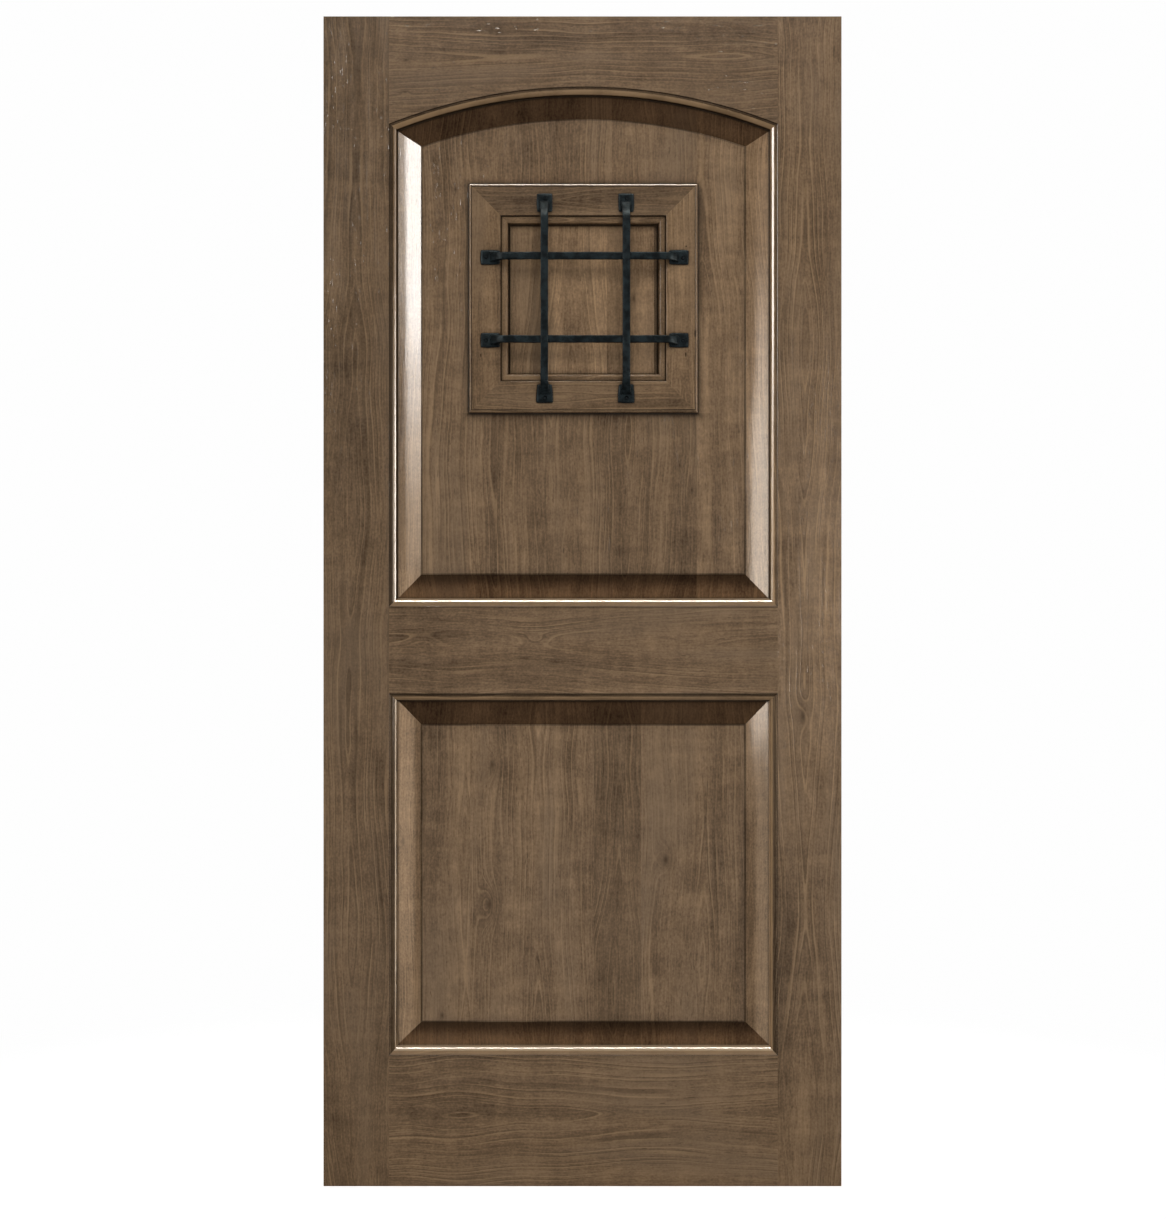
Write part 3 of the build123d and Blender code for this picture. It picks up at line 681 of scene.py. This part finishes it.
# ---------------------------------------------------------------------------
# Forged iron
# ---------------------------------------------------------------------------
def iron(name, base=(0.0137, 0.0184, 0.0201), rough=0.30, hammer=1.0, shine=0.014, metal=0.06):
    t = Tree(name)
    tc = t.new("ShaderNodeTexCoord")
    p = tc.outputs["Object"]
    dents = t.noise(p, detail=2.0, rough=0.5, scale=170.0)
    grains = t.noise(p, detail=4.0, rough=0.65, scale=900.0)
    patch = t.noise(p, detail=3.0, rough=0.6, scale=60.0)
    scale_mark = t.smooth(t.noise(p, detail=3.0, rough=0.6, scale=240.0), 0.52, 0.68)
    colour = t.mix(
        t.smooth(patch, 0.34, 0.66), [1.45 * c for c in base], [0.42 * c for c in base]
    )
    colour = t.mix(t.mul(scale_mark, 0.35), colour, (0.004, 0.0045, 0.005))
    # convex edges painted lighter: partly bare metal rubbed at the edges, partly a painted highlight along them
    rim = t.occlusion(0.0012, inside=True, local=True)
    edge_lift = t.mul(t.smooth(rim, 0.75, 0.35), t.smooth(patch, 0.40, 0.62))
    colour = t.mix(t.mul(edge_lift, 0.60), colour, (0.042, 0.049, 0.051))
    # painted shade: darker in the hollows and corners, such as where the bars meet their feet
    colour = t.mix(t.mul(t.smooth(t.occlusion(0.0045, samples=6), 0.90, 0.35), 0.60), colour, (0.0022, 0.0026, 0.0028))
    bsdf = t.new("ShaderNodeBsdfPrincipled")
    t.put(bsdf.inputs["Base Color"], colour)
    bsdf.inputs["Metallic"].default_value = metal
    bsdf.inputs["Specular IOR Level"].default_value = shine
    t.put(
        bsdf.inputs["Roughness"],
        t.add(t.mul(t.sub(patch, 0.5), 0.30), t.add(t.mul(t.sub(grains, 0.5), 0.18), rough)),
    )
    height = t.add(
        t.mul(dents, 0.00052 * hammer), t.mul(grains, 0.00005)
    )
    bump = t.new("ShaderNodeBump")
    bump.inputs["Distance"].default_value = 1.0
    t.link(height, bump.inputs["Height"])
    t.link(bump.outputs[0], bsdf.inputs["Normal"])
    t.link(bsdf.outputs[0], t.out.inputs[0])
    return t.mat


forged = iron("forged_iron")
level = iron("forged_iron_level", base=(0.0134, 0.0182, 0.0199), shine=0.014)
small = iron("small_iron", rough=0.40, hammer=0.45)
# the screw heads are near-black, standing in for the shade in their hollow heads: painted shade
screw_shade_iron = iron("screw_shade_iron", base=(0.0010, 0.0012, 0.0014), rough=0.38, hammer=0.3, shine=0.0, metal=0.0)
for node in ("fixed_hinge_leaves", "hatch_hinge_leaves", "hinge_pins", "hatch_knob", "grille_screws"):
    nodes[node].data.materials.clear()
    nodes[node].data.materials.append(screw_shade_iron if node == "grille_screws" else small)


def mesh_object(name, bm, material, smooth=True):
    me = bpy.data.meshes.new(name)
    bm.normal_update()
    bm.to_mesh(me)
    bm.free()
    me.materials.append(material)
    if smooth:
        me.polygons.foreach_set("use_smooth", [True] * len(me.polygons))
    o = bpy.data.objects.new(name, me)
    scene.collection.objects.link(o)
    return o


def round_path(points, radius, step):
    """A polyline with its corners rounded, as evenly spaced points."""
    pts = [Vector(p) for p in points]
    fine = [pts[0]]
    for a, b, c in zip(pts, pts[1:], pts[2:]):
        r = min(radius, (a - b).length * 0.48, (c - b).length * 0.48)
        p, q = b + (a - b).normalized() * r, b + (c - b).normalized() * r
        for i in range(9):
            k = i / 8
            fine.append(p * (1 - k) ** 2 + b * 2 * k * (1 - k) + q * k**2)
    fine.append(pts[-1])
    out, carry = [fine[0]], 0.0
    for a, b in zip(fine, fine[1:]):
        length = (b - a).length
        d = step - carry
        while d <= length:
            out.append(a.lerp(b, d / length))
            d += step
        carry = (carry + length) % step
    if (out[-1] - fine[-1]).length > step * 0.3:
        out.append(fine[-1])
    return out


SECTION = []
for cx, cy, a0 in ((1, 1, 0), (-1, 1, 90), (-1, -1, 180), (1, -1, 270)):
    for k in (0, 30, 60, 90):
        SECTION.append((cx, cy, math.radians(a0 + k)))


def sweep(bm, path, width, thick, place, seed, corner=0.0016):
    """A flat bar along a path of (along, out) points. width(along) is its width. place turns (along, side, out)
    into the row frame."""
    rings = []
    n = len(path)
    for i, p in enumerate(path):
        a, b = path[max(i - 1, 0)], path[min(i + 1, n - 1)]
        tangent = (b - a).normalized()
        normal = Vector((-tangent.y, tangent.x))
        if normal.y < 0 or (abs(normal.y) < 1e-6 and normal.x < 0):
            normal = -normal
        hw = width(p.x) / 2
        hw *= 1 + 0.030 * noise.noise(Vector((p.x * 45, seed, 0))) + 0.02 * noise.noise(
            Vector((p.x * 150, seed, 4))
        )
        lean = 0.00035 * noise.noise(Vector((p.x * 28, seed, 9)))
        ht = thick / 2
        ring = []
        for cx, cy, ang in SECTION:
            s = cx * (hw - corner) + corner * math.cos(ang) + lean
            h = cy * (ht - corner) + corner * math.sin(ang)
            h += 0.00022 * noise.noise(Vector((p.x * 90, s * 200, seed + 20)))
            q = p + normal * h
            ring.append(bm.verts.new(place(q.x, s, q.y)))
        rings.append(ring)
    m = len(SECTION)
    for r0, r1 in zip(rings, rings[1:]):
        for k in range(m):
            bm.faces.new((r0[k], r0[(k + 1) % m], r1[(k + 1) % m], r1[k]))
    bm.faces.new(rings[0][::-1])
    bm.faces.new(rings[-1])


def foot(bm, a0, a1, w0, w1, place, seed, thick=0.003):
    """A hammered plate from a0 to a1 along the bar, w0 and w1 wide at its two ends, standing on the casing."""
    nu, nv = 15, 13
    top, bottom = [], []
    ca, ha = (a0 + a1) / 2, (a1 - a0) / 2
    for i in range(nu):
        for j in range(nv):
            gu, gv = -1 + 2 * i / (nu - 1), -1 + 2 * j / (nv - 1)
            # bunch the grid at the rim, and round the corners
            gu = math.copysign(abs(gu) ** 0.75, gu)
            gv = math.copysign(abs(gv) ** 0.75, gv)
            cu = gu * math.sqrt(1 - 0.10 * gv * gv * gu * gu)
            cv = gv * math.sqrt(1 - 0.10 * gu * gu * gv * gv)
            k = (cu + 1) / 2
            hw = (w0 * (1 - k) + w1 * k) / 2
            along, side = ca + cu * ha, cv * hw
            rim = max(abs(gu), abs(gv))
            edge = 0.0006 * noise.noise(Vector((along * 120, side * 120, seed)))
            if rim > 0.99:
                along += edge * gu
                side += edge * gv
            fall = 0.0010 * max(0.0, (rim - 0.72) / 0.28) ** 2.4
            dent = 0.00035 * noise.noise(Vector((along * 160, side * 160, seed + 5)))
            out = thick - fall + dent * (1 - rim**4)
            top.append(bm.verts.new(place(along, side, CASING + out)))
    for i in range(nu - 1):
        for j in range(nv - 1):
            a, b = i * nv + j, (i + 1) * nv + j
            bm.faces.new((top[a], top[b], top[b + 1], top[a + 1]))
    rim_loop = (
        [j for j in range(nv)]
        + [i * nv + nv - 1 for i in range(1, nu)]
        + [(nu - 1) * nv + j for j in range(nv - 2, -1, -1)]
        + [i * nv for i in range(nu - 2, 0, -1)]
    )
    co = {}
    for r in rim_loop:
        v = top[r].co.copy()
        v.y = -CASING - 0.0002
        co[r] = bm.verts.new(v)
    for a, b in zip(rim_loop, rim_loop[1:] + rim_loop[:1]):
        bm.faces.new((top[a], top[b], co[b], co[a]))
    bm.faces.new([co[r] for r in rim_loop][::-1])


def screw(bm, place, along, side, radius=0.0034):
    """A round head with a hollow middle, on a foot."""
    rows = ((1.0, 0.0), (0.97, 0.0008), (0.84, 0.0012), (0.66, 0.0010), (0.50, 0.0001), (0.0, 0.0))
    seg, last = 18, None
    base = CASING + 0.0029
    for k, h in rows[:-1]:
        ring = []
        for i in range(seg):
            ang = 2 * math.pi * i / seg
            ring.append(
                bm.verts.new(
                    place(along + radius * k * math.cos(ang), side + radius * k * math.sin(ang), base + h)
                )
            )
        if last:
            for i in range(seg):
                bm.faces.new((last[i], last[(i + 1) % seg], ring[(i + 1) % seg], ring[i]))
        else:
            bm.faces.new(ring[::-1])
        last = ring
    bm.faces.new(last)


LEVEL_BACK = CASING + 0.013
VERT_BACK = LEVEL_BACK + 0.006


def bar(name, node, vertical, offset, hi, lo, back, width, feet, seed):
    """hi and lo are (foot on the plate, start of the straight) along the bar."""
    if vertical:
        place = lambda a, s, h: Vector((MID_X + offset + s, -h, SPEAK_Z + a))
    else:
        place = lambda a, s, h: Vector((MID_X + a, -h, SPEAK_Z + offset + s))
    bm = bmesh.new()
    mid = back + 0.003
    points = [
        (lo[0] + 0.0016, CASING + 0.0012),
        (lo[0] + 0.0026, CASING + 0.0050),
        (lo[1], mid),
        (hi[1], mid),
        (hi[0] - 0.0026, CASING + 0.0050),
        (hi[0] - 0.0016, CASING + 0.0012),
    ]
    path = round_path([Vector(p) for p in points], 0.010, 0.0022)

    def wide(a):
        flare = 0.0
        for end, start, sign in ((hi[0], hi[1], 1), (lo[0], lo[1], -1)):
            k = (a - start) / (end - start)
            if k > 0:
                flare = max(flare, 0.0042 * min(1.0, k) ** 1.8)
        return width + flare

    sweep(bm, path, wide, 0.006, place, seed)
    for a0, a1, w0, w1 in feet:
        foot(bm, a0, a1, w0, w1, place, seed + a0 * 50)
    bmesh.ops.recalc_face_normals(bm, faces=bm.faces)
    o = mesh_object(name, bm, forged if vertical else level)
    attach(o, "root")
    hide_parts(node)
    return o


bar(
    "forged_bar_left", "grille_bar_left", True, -0.0683,
    (0.1695, 0.1445), (-0.1690, -0.1435), VERT_BACK, 0.0134,
    ((0.1515, 0.1839, 0.0270, 0.0282), (-0.1847, -0.1519, 0.0306, 0.0262)), 1.0,
)
bar(
    "forged_bar_right", "grille_bar_right", True, 0.0753,
    (0.1690, 0.1440), (-0.1690, -0.1435), VERT_BACK, 0.0136,
    ((0.1515, 0.1839, 0.0268, 0.0280), (-0.1847, -0.1519, 0.0304, 0.0266)), 4.0,
)
bar(
    "forged_bar_upper", "grille_bar_upper", False, 0.0715,
    (0.1665, 0.1500), (-0.1630, -0.1455), LEVEL_BACK, 0.0130,
    ((0.1510, 0.1856, 0.0250, 0.0256), (-0.1810, -0.1466, 0.0258, 0.0246)), 7.0,
)
bar(
    "forged_bar_lower", "grille_bar_lower", False, -0.0745,
    (0.1665, 0.1500), (-0.1630, -0.1455), LEVEL_BACK, 0.0130,
    ((0.1510, 0.1856, 0.0250, 0.0254), (-0.1810, -0.1466, 0.0256, 0.0248)), 10.0,
)

heads = bmesh.new()
for along, side, upright in (
    (0.1756, -0.0673, True),
    (0.1754, 0.0763, True),
    (-0.1758, -0.0673, True),
    (-0.1758, 0.0763, True),
    (-0.1715, 0.0720, False),
    (-0.1715, -0.0746, False),
    (0.1756, 0.0702, False),
    (0.1756, -0.0754, False),
):
    if upright:
        at = lambda a, s, h: Vector((MID_X + s, -h, SPEAK_Z + a))
    else:
        at = lambda a, s, h: Vector((MID_X + a, -h, SPEAK_Z + s))
    screw(heads, at, along, side)
bmesh.ops.recalc_face_normals(heads, faces=heads.faces)
head = mesh_object("screw_heads", heads, screw_shade_iron)
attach(head, "root")
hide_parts("grille_screws")

# ---------------------------------------------------------------------------
# Stage and lights
# ---------------------------------------------------------------------------
floor_bm = bmesh.new()
bmesh.ops.create_circle(floor_bm, cap_ends=True, radius=9.0, segments=96)
ft = Tree("pale_floor")
ftc = ft.new("ShaderNodeTexCoord")
fx, fy, fz = ft.split(ftc.outputs["Object"])
far = ft.math("SQRT", ft.add(ft.mul(ft.mul(fx, 0.8), ft.mul(fx, 0.8)), ft.mul(fy, fy)))
diffuse = ft.new("ShaderNodeBsdfDiffuse")
diffuse.inputs[0].default_value = (0.80, 0.80, 0.80, 1)
glow = ft.new("ShaderNodeEmission")
glow.inputs[0].default_value = (1, 1, 1, 1)
glow.inputs[1].default_value = 0.62
near = ft.new("ShaderNodeAddShader")
ft.link(diffuse.outputs[0], near.inputs[0])
ft.link(glow.outputs[0], near.inputs[1])
white = ft.new("ShaderNodeEmission")
white.inputs[0].default_value = (1, 1, 1, 1)
white.inputs[1].default_value = 0.99
whole = ft.new("ShaderNodeMixShader")
ft.link(ft.smooth(far, 0.45, 1.5), whole.inputs[0])
ft.link(near.outputs[0], whole.inputs[1])
ft.link(white.outputs[0], whole.inputs[2])
ft.link(whole.outputs[0], ft.out.inputs[0])
floor = mesh_object("floor", floor_bm, ft.mat, smooth=False)
floor.location = (MID_X, 0, -0.0006)
floor.visible_glossy = False
floor.visible_diffuse = False
floor.visible_shadow = False

world = bpy.data.worlds.new("world")
scene.world = world
world.use_nodes = True
bg = world.node_tree.nodes["Background"]
bg.inputs[0].default_value = (1, 1, 1, 1)
bg.inputs[1].default_value = 0.99
world.cycles_visibility.diffuse = False
world.cycles_visibility.glossy = False
world.cycles_visibility.transmission = False


def lamp(name, place, target, size, radiance, kind="both", colour=(1, 1, 1)):
    """A soft box of a given brightness. kind: it lights the surface (soft), shows in the polish (card), or both."""
    data = bpy.data.lights.new(name, "AREA")
    data.shape = "RECTANGLE"
    data.size, data.size_y = size
    data.energy = radiance * math.pi * size[0] * size[1]
    data.color = colour
    o = bpy.data.objects.new(name, data)
    o.location = place
    o.rotation_euler = (Vector(target) - Vector(place)).to_track_quat("-Z", "Y").to_euler()
    o.visible_camera = False
    o.visible_glossy = kind != "soft"
    o.visible_diffuse = kind != "card"
    scene.collection.objects.link(o)
    return o


# light on the wood
lamp("soft_top", (MID_X + 0.2, -2.5, 3.2), (MID_X, 0, 1.1), (2.2, 1.4), 4.7, "soft")
lamp("soft_front", (MID_X + 0.5, -4.6, 0.9), (MID_X, 0, 0.9), (4.0, 3.4), 2.4, "soft")
lamp("soft_low", (MID_X, -1.7, 0.0), (MID_X, 0, 0.45), (2.0, 0.8), 1.35, "soft")
# cards that show in the polish
for name, kind_place, width, aim, steps in (
    ("left", (-1.66, -2.20), 1.62, 0.15, (
        (1.93, 3.35, 23.0, (1.0, 0.975, 0.945)),
        (1.69, 1.93, 13.5, (1.0, 0.925, 0.85)),
        (1.45, 1.69, 8.6, (1.0, 0.87, 0.74)),
        (1.15, 1.45, 4.8, (1.0, 0.80, 0.62)),
    )),
    ("left_inner", (-0.82, -2.45), 0.50, 0.15, (
        (2.00, 2.95, 4.0, (1.0, 0.90, 0.78)),
    )),
    ("left_low", (-0.90, -2.35), 0.70, 0.15, (
        (0.52, 1.15, 3.3, (1.0, 0.72, 0.48)),
        (0.28, 0.52, 4.5, (1.0, 0.72, 0.48)),
        (-0.10, 0.28, 3.5, (1.0, 0.72, 0.48)),
        (-0.60, -0.10, 2.1, (1.0, 0.72, 0.48)),
    )),
    ("right", (1.76, -2.20), 0.69, 0.77, (
        (0.60, 1.66, 10.6, (1.0, 0.88, 0.75)),
    )),
    ("right_upper", (1.68, -2.24), 0.53, 0.77, (
        (1.66, 1.80, 8.4, (1.0, 0.86, 0.72)),
        (1.80, 1.94, 6.8, (1.0, 0.84, 0.70)),
        (1.94, 2.10, 3.8, (1.0, 0.82, 0.66)),
        (2.10, 2.40, 0.9, (1.0, 0.80, 0.64)),
    )),
    ("right_far", (2.60, -0.27), 0.50, 0.14, (
        (-0.20, 0.92, 24.0, (1.0, 0.86, 0.70)),
    )),
    ("right_low", (1.68, -2.30), 0.55, 0.77, (
        (-0.45, 0.55, 2.3, (1.0, 0.74, 0.50)),
    )),
    ("right_side", (3.05, -1.05), 0.90, 0.13, (
        (0.75, 1.76, 34.0, (1.0, 0.94, 0.86)),
        (1.76, 2.10, 20.0, (1.0, 0.94, 0.86)),
        (2.10, 2.85, 5.0, (1.0, 0.90, 0.80)),
        (-0.60, 0.75, 10.0, (1.0, 0.84, 0.66)),
    )),
):
    for i, (low, high, light, tint) in enumerate(steps):
        middle = (low + high) / 2
        target = (aim, 0, middle * 0.6 + 0.45)
        lamp(f"{name}_card_{i}", (*kind_place, middle), target, (width, high - low), light, "card", tint)
lamp("left_outer", (-2.30, -1.60, 1.35), (0.80, 0, 1.3), (0.9, 0.9), 10.0, "card", (1.0, 0.88, 0.74))
lamp("over_card", (MID_X, -0.80, 3.80), (MID_X, 0.0, 0.9), (2.6, 0.8), 26.0, "card", (1.0, 0.93, 0.84))
lamp("brow_card", (MID_X, -0.75, 2.68), (MID_X, 0.0, 1.2), (2.0, 0.26), 54.0, "card", (1.0, 0.93, 0.84))
lamp("left_rim", (MID_X - 2.2, 0.25, 1.6), (MID_X, 0.0, 1.2), (0.8, 1.8), 2.2)
lamp("right_rim", (MID_X + 2.2, 0.25, 1.4), (MID_X, 0.0, 1.2), (0.8, 1.8), 2.2)
lamp("top_rim", (MID_X, 0.3, 3.6), (MID_X, 0.0, 1.2), (1.4, 0.8), 2.0, "soft")

# the far side is lit as plainly
lamp("back_soft", (MID_X - 0.3, 3.0, 2.9), (MID_X, 0, 1.0), (2.4, 1.6), 3.4, "soft")
lamp("back_front", (MID_X, 4.6, 0.9), (MID_X, 0, 0.9), (4.0, 3.4), 1.8, "soft")
lamp("back_left", (MID_X - 1.5, 2.2, 2.1), (MID_X, 0, 1.3), (1.4, 1.3), 10.0, "card")
lamp("back_right", (MID_X + 1.5, 2.2, 1.2), (MID_X, 0, 1.1), (1.3, 1.3), 8.0, "card")
lamp("back_over", (MID_X, 1.25, 3.75), (MID_X, 0.0, 1.0), (2.4, 1.1), 12.0, "card")
